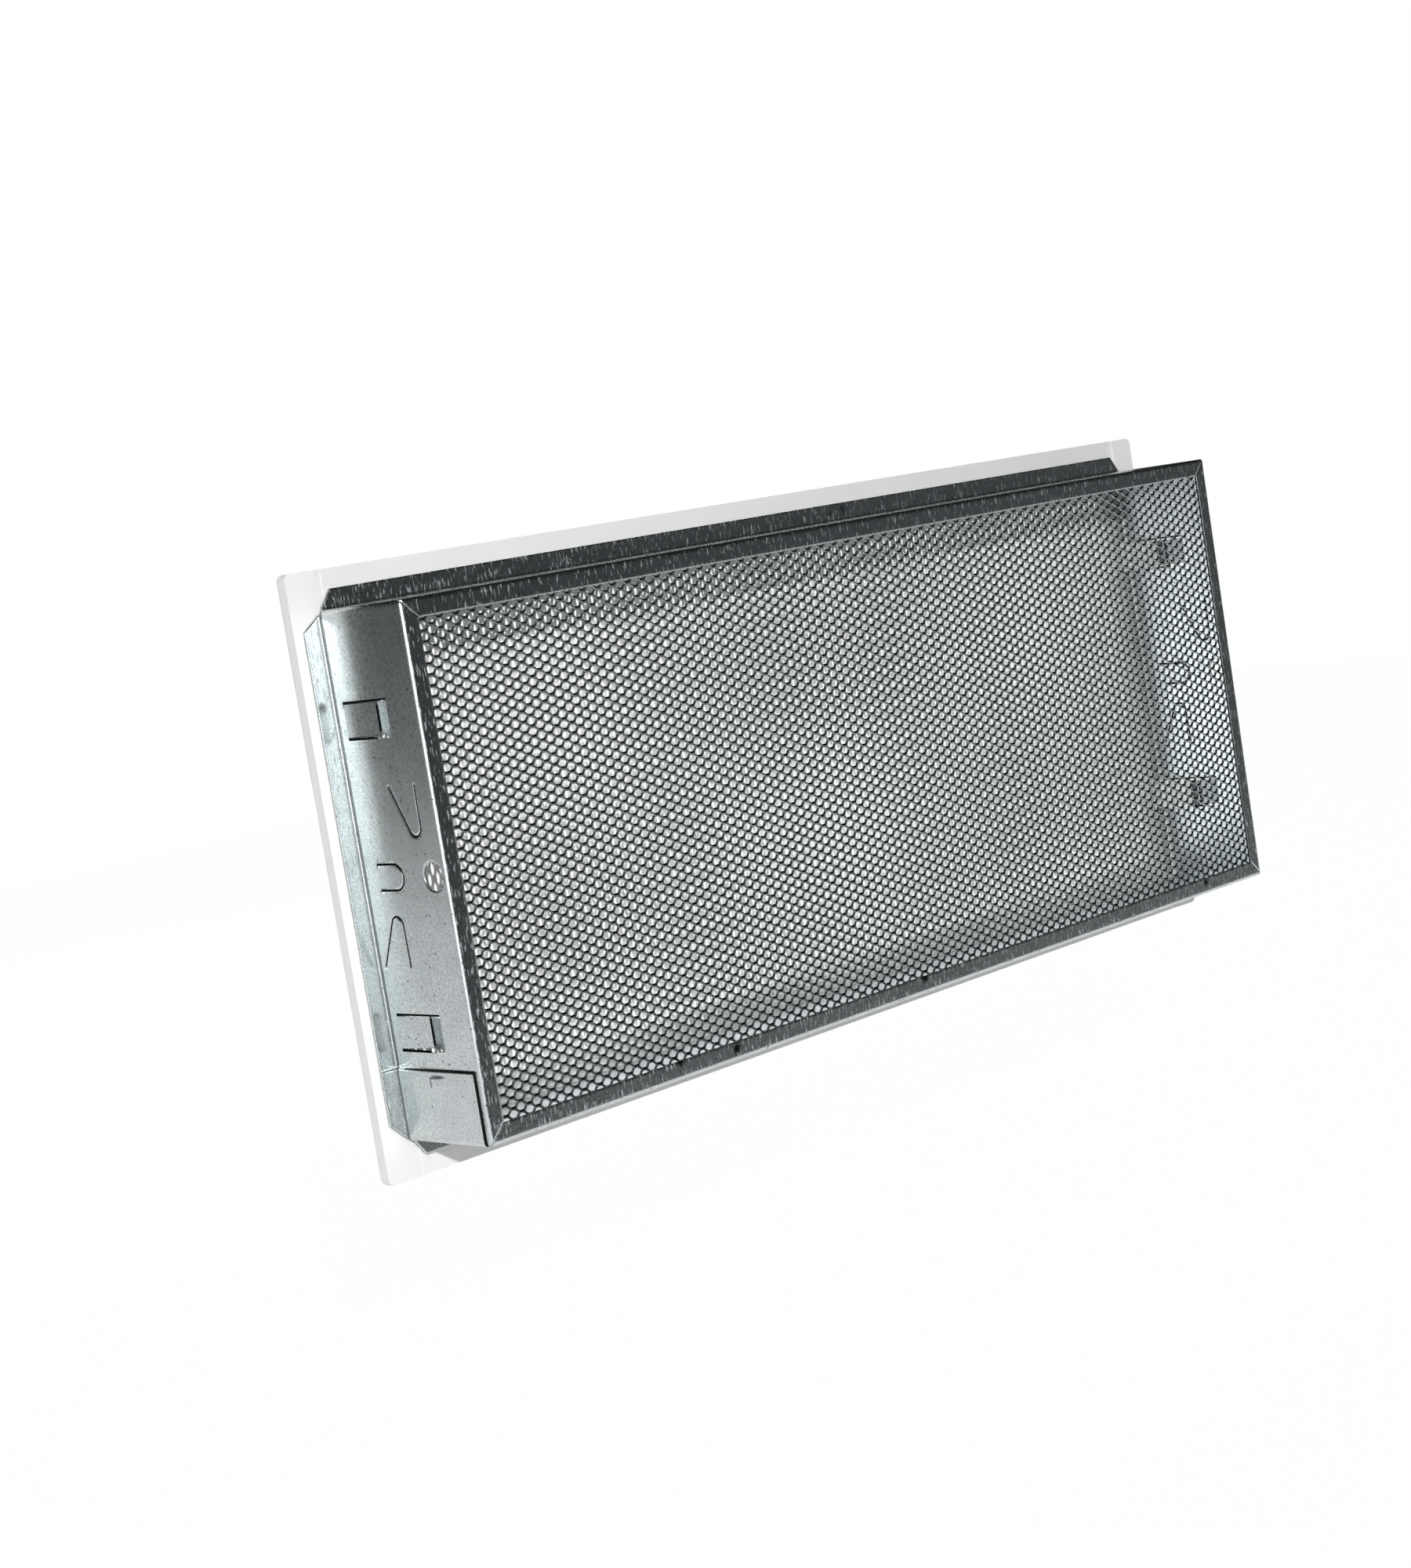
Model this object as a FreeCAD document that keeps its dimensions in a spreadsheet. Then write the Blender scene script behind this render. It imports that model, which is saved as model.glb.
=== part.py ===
import FreeCAD, Part
import math
import os
import Sketcher

# Push-in ventilation grille: a galvanised sleeve with an expanded mesh at its back, and a white front
# panel with a mesh of its own, which pushes into the sleeve on four legs.
# X is the width, Z the height, and Y the depth: the room is at -Y and the wall at +Y. Y = 0 is the plane
# of the wall, where the back of the sleeve's flange lies. Millimetres.

SIZES = [
    ("sleeve_width", 355, "outside of the sleeve's walls, side to side"),
    ("sleeve_height", 147, "outside of the sleeve's walls, bottom to top"),
    ("sleeve_depth", 36, "wall plane to the back of the lip"),
    ("sheet", 0.7, "galvanised sheet"),
    ("bend_inside", 0.5, "inside radius of a bend"),
    ("flange_reach", 5.4, "flange outside the walls"),
    ("flange_taper", 5.1, "how far each flange end tapers back"),
    ("lip_reach", 5.4, "lip inside the walls' outside"),
    ("mitre_gap", 0.3, "open line between two lips at a corner"),
    ("lap_height", 20.4, "end of the strip lapped over the side wall"),
    ("lap_setback", 0.5, "lap short of the back bend"),
    ("clinch_length", 6, "clinched lance that ties the lap, along the depth"),
    ("clinch_height", 3, "clinched lance, up"),
    ("clinch_front", 15.8, "wall plane to the lance"),
    ("clinch_drop", 3.2, "top of the lap to the middle of the lance"),
    ("clinch_rise", 0.7, "lance above the lap"),
    ("clip_middle", 43, "middle of a clip window above or below the middle"),
    ("clip_height", 10.7, "clip window, bottom to top"),
    ("clip_front", 4, "wall plane to the clip window"),
    ("clip_length", 19, "clip window, along the depth"),
    ("clip_split", 16.5, "wall plane to the line where the two flaps meet"),
    ("clip_slit", 0.9, "cut round the flaps"),
    ("clip_press", 1.75, "how far the flaps are pressed in where they meet"),
    ("tongue_slit", 0.55, "cut round an anchor tongue"),
    ("tongue_root_front", 18.1, "upper tongue: root corner nearest to the room"),
    ("tongue_root_back", 28.7, "upper tongue: root corner nearest to the lip"),
    ("tongue_root_height", 24.8, "root of a tongue from the middle"),
    ("tongue_tip_depth", 26.3, "upper tongue: middle of its round tip"),
    ("tongue_tip_height", 13.3, "middle of a tongue's round tip from the middle"),
    ("tongue_tip_radius", 2.2, "round tip"),
    ("tongue_step", 14.8, "lower tongue nearer to the room than the upper one"),
    ("tab_front", 6.8, "middle tab: root"),
    ("tab_tip_depth", 14.2, "middle tab: middle of its round tip"),
    ("tab_half_width", 3.3, "middle tab: half width and tip radius"),
    ("hole_radius", 4, "screw hole in each side wall"),
    ("hole_depth", 30.7, "wall plane to the middle of the screw hole"),
    ("front_over_side", 8.5, "front panel outside the sleeve's end walls"),
    ("front_over_top", 11, "front panel outside the sleeve's top and bottom walls"),
    ("front_depth", 4.3, "front panel, face to rear rim"),
    ("front_sheet", 0.8, "front panel's sheet"),
    ("front_corner", 2, "corner radius of the front panel"),
    ("front_edge_round", 1.2, "rounded edge of the face"),
    ("opening_inset_side", 10.5, "face's opening inside the sleeve's end walls"),
    ("opening_inset_top", 8, "face's opening inside the sleeve's top and bottom walls"),
    ("opening_corner", 3, "corner radius of the face's opening"),
    ("side_hem", 10.1, "rear hem at the sides, full height"),
    ("cross_hem", 12, "rear hem at the top and the bottom"),
    ("hem_gap", 2.3, "band between a side hem and a cross hem"),
    ("hem_step", 0.4, "cross hem lower than the side hem"),
    ("edge_step", 0.35, "band and cross hem inside the outer edge"),
    ("seat_gap", 0.2, "front panel's rim to the sleeve's flange"),
    ("mesh_thick", 1.4, "raised expanded mesh, front to back"),
    ("mesh_lean", 0.9, "how far a strand leans over the mesh's thickness"),
    ("strand_wide", 2.4, "strand, across"),
    ("bond_long", 5, "where two strands are one, along the strand"),
    ("mesh_clear", 1, "back mesh to the sleeve's walls"),
    ("back_columns", 8, "diamonds along the back mesh"),
    ("back_rows", 7, "diamonds up the back mesh"),
    ("front_overlap", 3.5, "front mesh behind the border"),
    ("front_columns", 3, "diamonds up the front mesh, which is turned a quarter"),
    ("front_rows", 15, "diamonds along the front mesh"),
    ("leg_wide", 10, "leg of the front panel, up"),
    ("leg_sheet", 0.8, "leg's strip"),
    ("leg_reach", 14, "wall plane to the leg's end"),
    ("leg_lead", 3, "end of the leg that is bent in"),
    ("leg_lead_in", 0.8, "how far the end is bent in"),
    ("leg_foot", 8, "foot welded to the face"),
    ("leg_clear", 0.3, "leg to the flaps"),
]

doc = FreeCAD.newDocument("ventilation_grille")
sheet = doc.addObject("Spreadsheet::Sheet", "sizes")


class Size:
    """A number together with the spreadsheet formula that gives it."""

    def __init__(self, value, formula):
        self.value = value
        self.formula = formula

    def __add__(self, other):
        other = as_size(other)
        return Size(self.value + other.value, f"({self.formula} + {other.formula})")

    def __sub__(self, other):
        other = as_size(other)
        return Size(self.value - other.value, f"({self.formula} - {other.formula})")

    def __mul__(self, factor):
        factor = as_size(factor)
        return Size(self.value * factor.value, f"({self.formula} * {factor.formula})")

    def __truediv__(self, divisor):
        divisor = as_size(divisor)
        return Size(self.value / divisor.value, f"({self.formula} / {divisor.formula})")

    def __neg__(self):
        return Size(-self.value, f"(0 - {self.formula})")


def as_size(number):
    if isinstance(number, Size):
        return number
    return Size(float(number), repr(float(number)))


def fill_sheet():
    named = {}
    for row, (alias, number, meaning) in enumerate(SIZES, start=1):
        sheet.set(f"A{row}", alias)
        sheet.set(f"B{row}", str(number))
        sheet.set(f"C{row}", meaning)
        sheet.setAlias(f"B{row}", alias)
        named[alias] = Size(float(number), f"sizes.{alias}")
    doc.recompute()
    return named


S = fill_sheet()

# Sizes worked out from the sheet

half_width = S["sleeve_width"] / 2
half_height = S["sleeve_height"] / 2
bend_outside = S["bend_inside"] + S["sheet"]
back = S["sleeve_depth"]
bend_start = back - bend_outside
lap_outside = half_width + S["sheet"]
lap_top = S["lap_height"] - half_height
lap_end = bend_start - S["lap_setback"]
rim_rear = -(S["sheet"] + S["seat_gap"])
face_front = rim_rear - S["front_depth"]
face_rear = face_front + S["front_sheet"]
half_front_width = half_width + S["front_over_side"]
half_front_height = half_height + S["front_over_top"]
opening_half_width = half_width - S["opening_inset_side"]
opening_half_height = half_height - S["opening_inset_top"]
leg_outside = half_width - S["sheet"] - S["clip_press"] - S["leg_clear"]
leg_inside = leg_outside - S["leg_sheet"]

# Planes that a sketch can lie in

PLAN = FreeCAD.Rotation(FreeCAD.Vector(0, 0, 1), 0)
ELEVATION = FreeCAD.Rotation(FreeCAD.Vector(1, 0, 0), 90)
SIDE = FreeCAD.Rotation(FreeCAD.Vector(1, 1, 1), 120)


def bind(thing, path, size):
    thing.setExpression(path, as_size(size).formula)


def hold(sketch, name, size, kind, *places):
    """Add a named constraint whose number follows the sheet."""
    size = as_size(size)
    number = sketch.addConstraint(Sketcher.Constraint(kind, *places, size.value))
    sketch.renameConstraint(number, name)
    bind(sketch, f".Constraints.{name}", size)


def arc_between(start, end, radius):
    """The arc from start to end: anticlockwise if the radius is positive, clockwise if negative."""
    if radius < 0:
        start, end = end, start
    chord = end - start
    middle = (start + end) * 0.5
    height = math.sqrt(max(radius * radius - (chord.Length / 2) ** 2, 0.0))
    normal = FreeCAD.Vector(-chord.y, chord.x, 0).normalize()
    centre = middle + normal * height
    circle = Part.Circle(centre, FreeCAD.Vector(0, 0, 1), abs(radius))
    first = math.atan2(start.y - centre.y, start.x - centre.x)
    last = math.atan2(end.y - centre.y, end.x - centre.x)
    return Part.ArcOfCircle(circle, first, last)


def draw_outline(sketch, corners):
    """Draw a closed outline whose corners are (x, y), or (x, y, radius) where an arc follows."""
    points = [FreeCAD.Vector(as_size(c[0]).value, as_size(c[1]).value, 0) for c in corners]
    edges = []
    for index, corner in enumerate(corners):
        start, end = points[index], points[(index + 1) % len(points)]
        if len(corner) == 2:
            edge = sketch.addGeometry(Part.LineSegment(start, end))
            edges.append((edge, 1, 2))
            continue
        radius = as_size(corner[2])
        clockwise = radius.value < 0
        edge = sketch.addGeometry(arc_between(start, end, radius.value))
        hold(sketch, f"radius_{edge}", -radius if clockwise else radius, "Radius", edge)
        edges.append((edge, 2, 1) if clockwise else (edge, 1, 2))
    for index, corner in enumerate(corners):
        edge, first, _ = edges[index]
        before, _, last = edges[index - 1]
        sketch.addConstraint(Sketcher.Constraint("Coincident", before, last, edge, first))
        hold(sketch, f"across_{edge}", corner[0], "DistanceX", -1, 1, edge, first)
        hold(sketch, f"up_{edge}", corner[1], "DistanceY", -1, 1, edge, first)


def rounded_rectangle(half_x, half_y, radius):
    near_x = half_x - radius
    near_y = half_y - radius
    return [(-near_x, -half_y), (near_x, -half_y, radius), (half_x, -near_y), (half_x, near_y, radius),
            (near_x, half_y), (-near_x, half_y, radius), (-half_x, near_y), (-half_x, -near_y, radius)]


# Bench operations, for the sleeve

def free_sketch(name, rotation, outlines):
    sketch = doc.addObject("Sketcher::SketchObject", name)
    sketch.Placement = FreeCAD.Placement(FreeCAD.Vector(0, 0, 0), rotation)
    for outline in outlines:
        draw_outline(sketch, outline)
    return sketch


def extrude(name, sketch, start, end):
    """Extrude along the sketch's own normal, from one distance to another."""
    solid = doc.addObject("Part::Extrusion", name)
    solid.Base = sketch
    solid.DirMode = "Normal"
    solid.Solid = True
    bind(solid, "LengthFwd", end)
    bind(solid, "LengthRev", -as_size(start))
    return solid


def fuse(name, solids):
    joined = doc.addObject("Part::MultiFuse", name)
    joined.Shapes = solids
    joined.Refine = True
    return joined


def cut(name, base, tool):
    result = doc.addObject("Part::Cut", name)
    result.Base = base
    result.Tool = tool
    return result


def common(name, base, tool):
    result = doc.addObject("Part::Common", name)
    result.Base = base
    result.Tool = tool
    return result


# The sleeve: one strip folded round, with a flange at the front and a lip at the back

def flange_section(outside):
    """Section of a flange and its bend: first across, outwards, then along the depth."""
    inside = S["bend_inside"]
    thick = S["sheet"]
    return [(outside + S["flange_reach"], 0), (outside + inside, 0, -inside), (outside, inside),
            (outside - thick, inside, bend_outside), (outside + inside, -thick),
            (outside + S["flange_reach"], -thick)]


def lip_section(outside):
    thick = S["sheet"]
    return [(outside, bend_start, bend_outside), (outside - bend_outside, back),
            (outside - S["lip_reach"], back), (outside - S["lip_reach"], back - thick),
            (outside - bend_outside, back - thick, -S["bend_inside"]), (outside - thick, bend_start)]


def flange_mask(outside, half_length):
    """What a flange keeps of its section, seen from the room: its ends taper to the corner."""
    end = half_length - bend_outside
    tip = half_length - S["flange_taper"]
    far = outside + S["flange_reach"]
    deep = outside - bend_outside
    return [(deep, -end), (outside, -end), (far, -tip), (far, tip), (outside, end), (deep, end)]


def lip_mask(outside, half_length):
    """What a lip keeps of its section: its ends are mitred inwards from the corner."""
    reach = S["lip_reach"]
    end = half_length - S["mitre_gap"]
    return [(outside - reach, -(end - reach)), (outside, -end), (outside, end),
            (outside - reach, end - reach)]


def folded_edge(name, section, mask, outside, half_length, turn):
    """One folded edge along one side; the right side has no turn."""
    rotation = FreeCAD.Rotation(FreeCAD.Vector(0, 1, 0), turn)
    profile = free_sketch(f"{name}_profile", rotation, [section(outside)])
    stretch = extrude(f"{name}_stretch", profile, -half_length, half_length)
    corners = free_sketch(f"{name}_corners", rotation * ELEVATION, [mask(outside, half_length)])
    keep = extrude(f"{name}_keep", corners, -(back + 1), bend_outside)
    return common(name, stretch, keep)


def sleeve_shell():
    inner_radius = S["bend_inside"]
    ring = free_sketch("wall_ring", ELEVATION, [
        rounded_rectangle(half_width, half_height, bend_outside),
        rounded_rectangle(half_width - S["sheet"], half_height - S["sheet"], inner_radius)])
    pieces = [extrude("walls", ring, -bend_start, -inner_radius)]
    for side, outside, half_length, turn in (("right", half_width, half_height, 0),
                                             ("top", half_height, half_width, -90),
                                             ("left", half_width, half_height, 180),
                                             ("bottom", half_height, half_width, 90)):
        pieces.append(folded_edge(f"flange_{side}", flange_section, flange_mask,
                                  outside, half_length, turn))
        pieces.append(folded_edge(f"lip_{side}", lip_section, lip_mask, outside, half_length, turn))
    return pieces


def lap_tab():
    """The end of the strip, turned up from the bottom wall and lapped over the right wall and flange."""
    inside = S["bend_inside"]
    thick = S["sheet"]
    far = half_width + S["flange_reach"]
    profile = free_sketch("lap_profile", PLAN, [[
        (far, thick), (lap_outside + inside, thick, -inside), (lap_outside, thick + inside),
        (lap_outside, lap_end), (half_width, lap_end), (half_width, inside, inside),
        (half_width + inside, 0), (far, 0)]])
    tab = extrude("lap_tab", profile, -half_height, lap_top)
    floor = free_sketch("lap_floor_profile", PLAN, [[
        (half_width - bend_outside, inside), (lap_outside, inside), (lap_outside, lap_end),
        (half_width - bend_outside, lap_end)]])
    floor = extrude("lap_floor", floor, -half_height, thick - half_height)
    low = half_height - bend_outside
    corner = free_sketch("lap_corner_profile", ELEVATION, [[
        (lap_outside - bend_outside, -half_height, bend_outside), (lap_outside, -low),
        (lap_outside + thick, -low), (lap_outside + thick, -(half_height + thick)),
        (lap_outside - bend_outside, -(half_height + thick))]])
    corner = extrude("lap_corner", corner, -back, -thick)
    drop = half_height - S["flange_taper"]
    taper = free_sketch("lap_taper_profile", ELEVATION, [[
        (half_width, -(half_height + thick)), (half_width, -half_height), (far, -drop),
        (far + thick, -drop), (far + thick, -(half_height + thick))]])
    taper = extrude("lap_taper", taper, -thick, bend_outside)
    return cut("lap", fuse("lap_folded", [tab, floor]), fuse("lap_trim", [corner, taper]))


def clinch():
    """A lance in the lap: flush at its back end and standing off at its front end."""
    front = S["clinch_front"]
    rise = lap_outside + S["clinch_rise"]
    middle = lap_top - S["clinch_drop"]
    profile = free_sketch("clinch_profile", PLAN, [[
        (lap_outside, front + S["clinch_length"]), (half_width, front + S["clinch_length"]),
        (half_width, front + S["sheet"]), (rise - S["sheet"], front), (rise, front)]])
    return extrude("clinch", profile, middle - S["clinch_height"] / 2, middle + S["clinch_height"] / 2)


def draw_tongue(sketch, root_a, root_b, tip, radius):
    """A tongue from its root line to a round tip, with its two legs tangent to the tip."""
    centre = FreeCAD.Vector(tip[0].value, tip[1].value, 0)
    first, second = [FreeCAD.Vector(root[0].value, root[1].value, 0) for root in (root_a, root_b)]
    if (second - centre).cross(first - centre).z < 0:
        first, second = second, first
        root_a, root_b = root_b, root_a
    to_first, to_second = first - centre, second - centre
    start = math.atan2(to_first.y, to_first.x) + math.acos(radius.value / to_first.Length)
    end = math.atan2(to_second.y, to_second.x) - math.acos(radius.value / to_second.Length)
    circle = Part.Circle(centre, FreeCAD.Vector(0, 0, 1), radius.value)
    arc = sketch.addGeometry(Part.ArcOfCircle(circle, start, end))
    geometry = sketch.Geometry[arc]
    leg_a = sketch.addGeometry(Part.LineSegment(first, geometry.StartPoint))
    leg_b = sketch.addGeometry(Part.LineSegment(geometry.EndPoint, second))
    root_line = sketch.addGeometry(Part.LineSegment(second, first))
    sketch.addConstraint(Sketcher.Constraint("Tangent", leg_a, 2, arc, 1))
    sketch.addConstraint(Sketcher.Constraint("Tangent", arc, 2, leg_b, 1))
    sketch.addConstraint(Sketcher.Constraint("Coincident", leg_b, 2, root_line, 1))
    sketch.addConstraint(Sketcher.Constraint("Coincident", root_line, 2, leg_a, 1))
    hold(sketch, "tip_radius", radius, "Radius", arc)
    for name, edge, point, place in (("tip", arc, 3, tip), ("root_a", leg_a, 1, root_a),
                                     ("root_b", leg_b, 2, root_b)):
        hold(sketch, f"{name}_across", place[0], "DistanceX", -1, 1, edge, point)
        hold(sketch, f"{name}_up", place[1], "DistanceY", -1, 1, edge, point)


def tongue(name, root_a, root_b, tip, radius, spread_a, spread_b):
    """A window through both side walls, and the tongue that stays in the right one."""
    slit = S["tongue_slit"]
    window = doc.addObject("Sketcher::SketchObject", f"{name}_window_outline")
    window.Placement = FreeCAD.Placement(FreeCAD.Vector(0, 0, 0), SIDE)
    wide_a = (root_a[0] + slit * spread_a[0], root_a[1] + slit * spread_a[1])
    wide_b = (root_b[0] + slit * spread_b[0], root_b[1] + slit * spread_b[1])
    draw_tongue(window, wide_a, wide_b, tip, radius + slit)
    blade = doc.addObject("Sketcher::SketchObject", f"{name}_outline")
    blade.Placement = FreeCAD.Placement(FreeCAD.Vector(0, 0, 0), SIDE)
    draw_tongue(blade, root_a, root_b, tip, radius)
    opening = extrude(f"{name}_window", window, -(half_width + 1), half_width + S["sheet"] / 2)
    return opening, extrude(name, blade, half_width - S["sheet"], half_width)


def anchor_tongues():
    """Flush tongues that an installer bends out: one pointing down, one tab, and one pointing up."""
    windows, blades = [], []
    step = S["tongue_step"]
    for name, sign, shift in (("upper_tongue", 1, as_size(0)), ("lower_tongue", -1, step)):
        root_height = S["tongue_root_height"] * sign
        places = [(S["tongue_root_front"] - shift, root_height),
                  (S["tongue_root_back"] - shift, root_height)]
        tip = (S["tongue_tip_depth"] - shift, S["tongue_tip_height"] * sign)
        window, blade = tongue(name, places[0], places[1], tip, S["tongue_tip_radius"],
                               (-1, 0), (1, 0))
        windows.append(window)
        blades.append(blade)
    half = S["tab_half_width"]
    window, blade = tongue("middle_tab", (S["tab_front"], half), (S["tab_front"], -half),
                           (S["tab_tip_depth"], as_size(0)), half, (0, 1), (0, -1))
    windows.append(window)
    blades.append(blade)
    return windows, blades


def clip_flaps(name, middle):
    """A window whose two flaps are pressed in towards each other to grip a leg of the front panel."""
    thick = S["sheet"]
    press = S["clip_press"]
    slit = S["clip_slit"]
    low = middle - S["clip_height"] / 2
    high = middle + S["clip_height"] / 2
    front = S["clip_front"]
    rear = front + S["clip_length"]
    outline = free_sketch(f"{name}_window_outline", SIDE,
                          [[(front, low), (rear, low), (rear, high), (front, high)]])
    window = extrude(f"{name}_window", outline, -(half_width + 1), half_width + thick / 2)
    flaps = []
    for end, root, tip in (("front", front, S["clip_split"] - slit / 2),
                           ("rear", rear, S["clip_split"] + slit / 2)):
        profile = free_sketch(f"{name}_{end}_profile", PLAN, [[
            (half_width, root), (half_width - press, tip), (half_width - press - thick, tip),
            (half_width - thick, root)]])
        flaps.append(extrude(f"{name}_{end}_flap", profile, low + slit, high - slit))
    return window, flaps


def screw_hole():
    hole = doc.addObject("Part::Cylinder", "screw_hole")
    hole.Placement.Rotation = FreeCAD.Rotation(FreeCAD.Vector(0, 1, 0), 90)
    bind(hole, "Radius", S["hole_radius"])
    bind(hole, "Height", S["sleeve_width"] + 2)
    bind(hole, "Placement.Base.x", -(half_width + 1))
    bind(hole, "Placement.Base.y", S["hole_depth"])
    return hole


def mounting_sleeve():
    windows, blades = anchor_tongues()
    for name, sign in (("upper_clip", 1), ("lower_clip", -1)):
        window, flaps = clip_flaps(name, S["clip_middle"] * sign)
        windows.append(window)
        blades += flaps
    shell = fuse("folded_strip", sleeve_shell())
    tools = fuse("cuts", windows + [screw_hole()])
    pierced = cut("pierced_strip", shell, tools)
    right = fuse("right_blades", blades)
    left = doc.addObject("Part::Mirroring", "left_blades")
    left.Source = right
    left.Normal = (1, 0, 0)
    sleeve = fuse("mounting_sleeve", [pierced, right, left, lap_tab(), clinch()])
    sleeve.Label = "mounting_sleeve"
    return sleeve


# Bodies, for the pieces that are one pad or a few

def new_body(label):
    body = doc.addObject("PartDesign::Body", label)
    body.Label = label
    return body


def body_sketch(body, name, role, distance, outlines):
    """A sketch on one of the body's own planes, moved along that plane's normal."""
    plane = [feature for feature in body.Origin.OriginFeatures if feature.Role == role][0]
    sketch = body.newObject("Sketcher::SketchObject", name)
    sketch.AttachmentSupport = (plane, [""])
    sketch.MapMode = "FlatFace"
    bind(sketch, ".AttachmentOffset.Base.z", distance)
    for outline in outlines:
        draw_outline(sketch, outline)
    return sketch


def plate(body, name, start, thickness, outlines):
    """A plate across the depth: it starts at one depth and grows towards the wall."""
    sketch = body_sketch(body, f"{name}_outline", "XZ_Plane", -as_size(start), outlines)
    pad = body.newObject("PartDesign::Pad", name)
    pad.Profile = sketch
    pad.Reversed = True
    bind(pad, "Length", thickness)
    doc.recompute()
    return pad


def bar(low_x, high_x, low_z, high_z):
    return [(low_x, low_z), (high_x, low_z), (high_x, high_z), (low_x, high_z)]


def front_frame():
    """One pressed and folded sheet: a face with an opening, edges turned back, and rear hems."""
    body = new_body("front_frame")
    thick = S["front_sheet"]
    corner = S["front_corner"]
    outer = rounded_rectangle(half_front_width, half_front_height, corner)
    plate(body, "face", face_front, thick, [
        outer, rounded_rectangle(opening_half_width, opening_half_height, S["opening_corner"])])
    inner = rounded_rectangle(half_front_width - thick, half_front_height - thick, corner - thick)
    low_rim = S["front_depth"] - S["hem_step"]
    plate(body, "turned_edges", face_front, low_rim, [outer, inner])
    hem_edge = half_front_width - S["side_hem"]
    reach = half_front_width - corner
    for name, side in (("right_hem", 1), ("left_hem", -1)):
        high = half_front_height
        plate(body, name, rim_rear - thick, thick, [[
            (hem_edge * side, -high), (reach * side, -high, corner * side),
            (half_front_width * side, -(high - corner)), (half_front_width * side, high - corner, corner * side),
            (reach * side, high), (hem_edge * side, high)]])
    cross_half = hem_edge - S["hem_gap"]
    top = half_front_height - S["edge_step"]
    for name, side in (("top_hem", 1), ("bottom_hem", -1)):
        plate(body, name, rim_rear - S["hem_step"] - thick, thick, [
            bar(-cross_half, cross_half, top * side, (half_front_height - S["cross_hem"]) * side)])
    for name, side_x, side_z in (("band_upper_right", 1, 1), ("band_upper_left", -1, 1),
                                 ("band_lower_left", -1, -1), ("band_lower_right", 1, -1)):
        plate(body, name, rim_rear - S["hem_step"] * 1.5 - thick, thick, [
            bar(cross_half * side_x, hem_edge * side_x,
                top * side_z, (half_front_height - S["cross_hem"]) * side_z)])
    round_face_edge(body)
    return body


def round_face_edge(body):
    """Round the long outer edges where the face turns back."""
    solid = body.Tip
    names = []
    for index, edge in enumerate(solid.Shape.Edges, start=1):
        box = edge.BoundBox
        at_face = abs(box.YMin - face_front.value) < 0.01 and box.YLength < 0.01
        outer = (box.XMax > half_front_width.value - S["front_corner"].value - 0.01
                 or box.XMin < -half_front_width.value + S["front_corner"].value + 0.01
                 or abs(box.ZMax) > half_front_height.value - 0.01
                 or abs(box.ZMin) > half_front_height.value - 0.01)
        if at_face and outer:
            names.append(f"Edge{index}")
    rounding = body.newObject("PartDesign::Fillet", "face_edge")
    rounding.Base = (solid, names)
    bind(rounding, "Radius", S["front_edge_round"])


def strand_outline(pitch, swing, middle, start, turned):
    """One wave of a strand: flat where it bonds to its neighbours and sloping between."""
    half = S["strand_wide"] / 2
    bond = S["bond_long"] / 2
    stations = [(as_size(0), swing), (bond, swing), (pitch / 2 - bond, -swing),
                (pitch / 2 + bond, -swing), (pitch - bond, swing), (pitch, swing)]
    upper = [(start + along, middle + across + half) for along, across in stations]
    lower = [(start + along, middle + across - half) for along, across in stations]
    outline = lower + upper[::-1]
    if turned:
        return [(across, along) for along, across in outline]
    return outline


def expanded_mesh(label, half_along, half_across, columns, rows, start, turned):
    """Raised expanded mesh: one wave of two leaning strands, repeated along and across."""
    body = new_body(label)
    wide = S["strand_wide"]
    lean = S["mesh_lean"]
    bond_overlap = wide / 10
    pitch_along = half_along * 2 / columns
    spacing = (half_across * 2 - bond_overlap - lean) / (rows * 2)
    swing = (spacing - wide + bond_overlap) / 2
    first = wide / 2 + swing - half_across
    waves = []
    for name, direction, middle in (("even_wave", 1, first), ("odd_wave", -1, first + spacing)):
        outline = strand_outline(pitch_along, swing * direction, middle, -half_along, turned)
        sketch = body_sketch(body, f"{label}_{name}_outline", "XZ_Plane", -start, [outline])
        pad = body.newObject("PartDesign::Pad", f"{label}_{name}")
        pad.Profile = sketch
        pad.UseCustomVector = True
        pad.AlongSketchNormal = True
        bind(pad, "Length", S["mesh_thick"])
        bind(pad, ".Direction.x", lean if turned else 0)
        bind(pad, ".Direction.y", S["mesh_thick"])
        bind(pad, ".Direction.z", 0 if turned else lean)
        waves.append(pad)
    doc.recompute()
    along_axis, across_axis = ("Z_Axis", "X_Axis") if turned else ("X_Axis", "Z_Axis")
    repeat = body.newObject("PartDesign::MultiTransform", f"{label}_repeat")
    repeat.Originals = waves
    repeat.Transformations = [
        row_of(body, f"{label}_along", along_axis, columns, pitch_along),
        row_of(body, f"{label}_across", across_axis, rows, spacing * 2)]
    body.Tip = repeat
    return body


def row_of(body, name, role, count, pitch):
    row = doc.addObject("PartDesign::LinearPattern", name)
    axis = [feature for feature in body.Origin.OriginFeatures if feature.Role == role][0]
    row.Direction = (axis, [""])
    bind(row, "Occurrences", count)
    bind(row, "Length", pitch * (count - 1))
    return row


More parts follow.
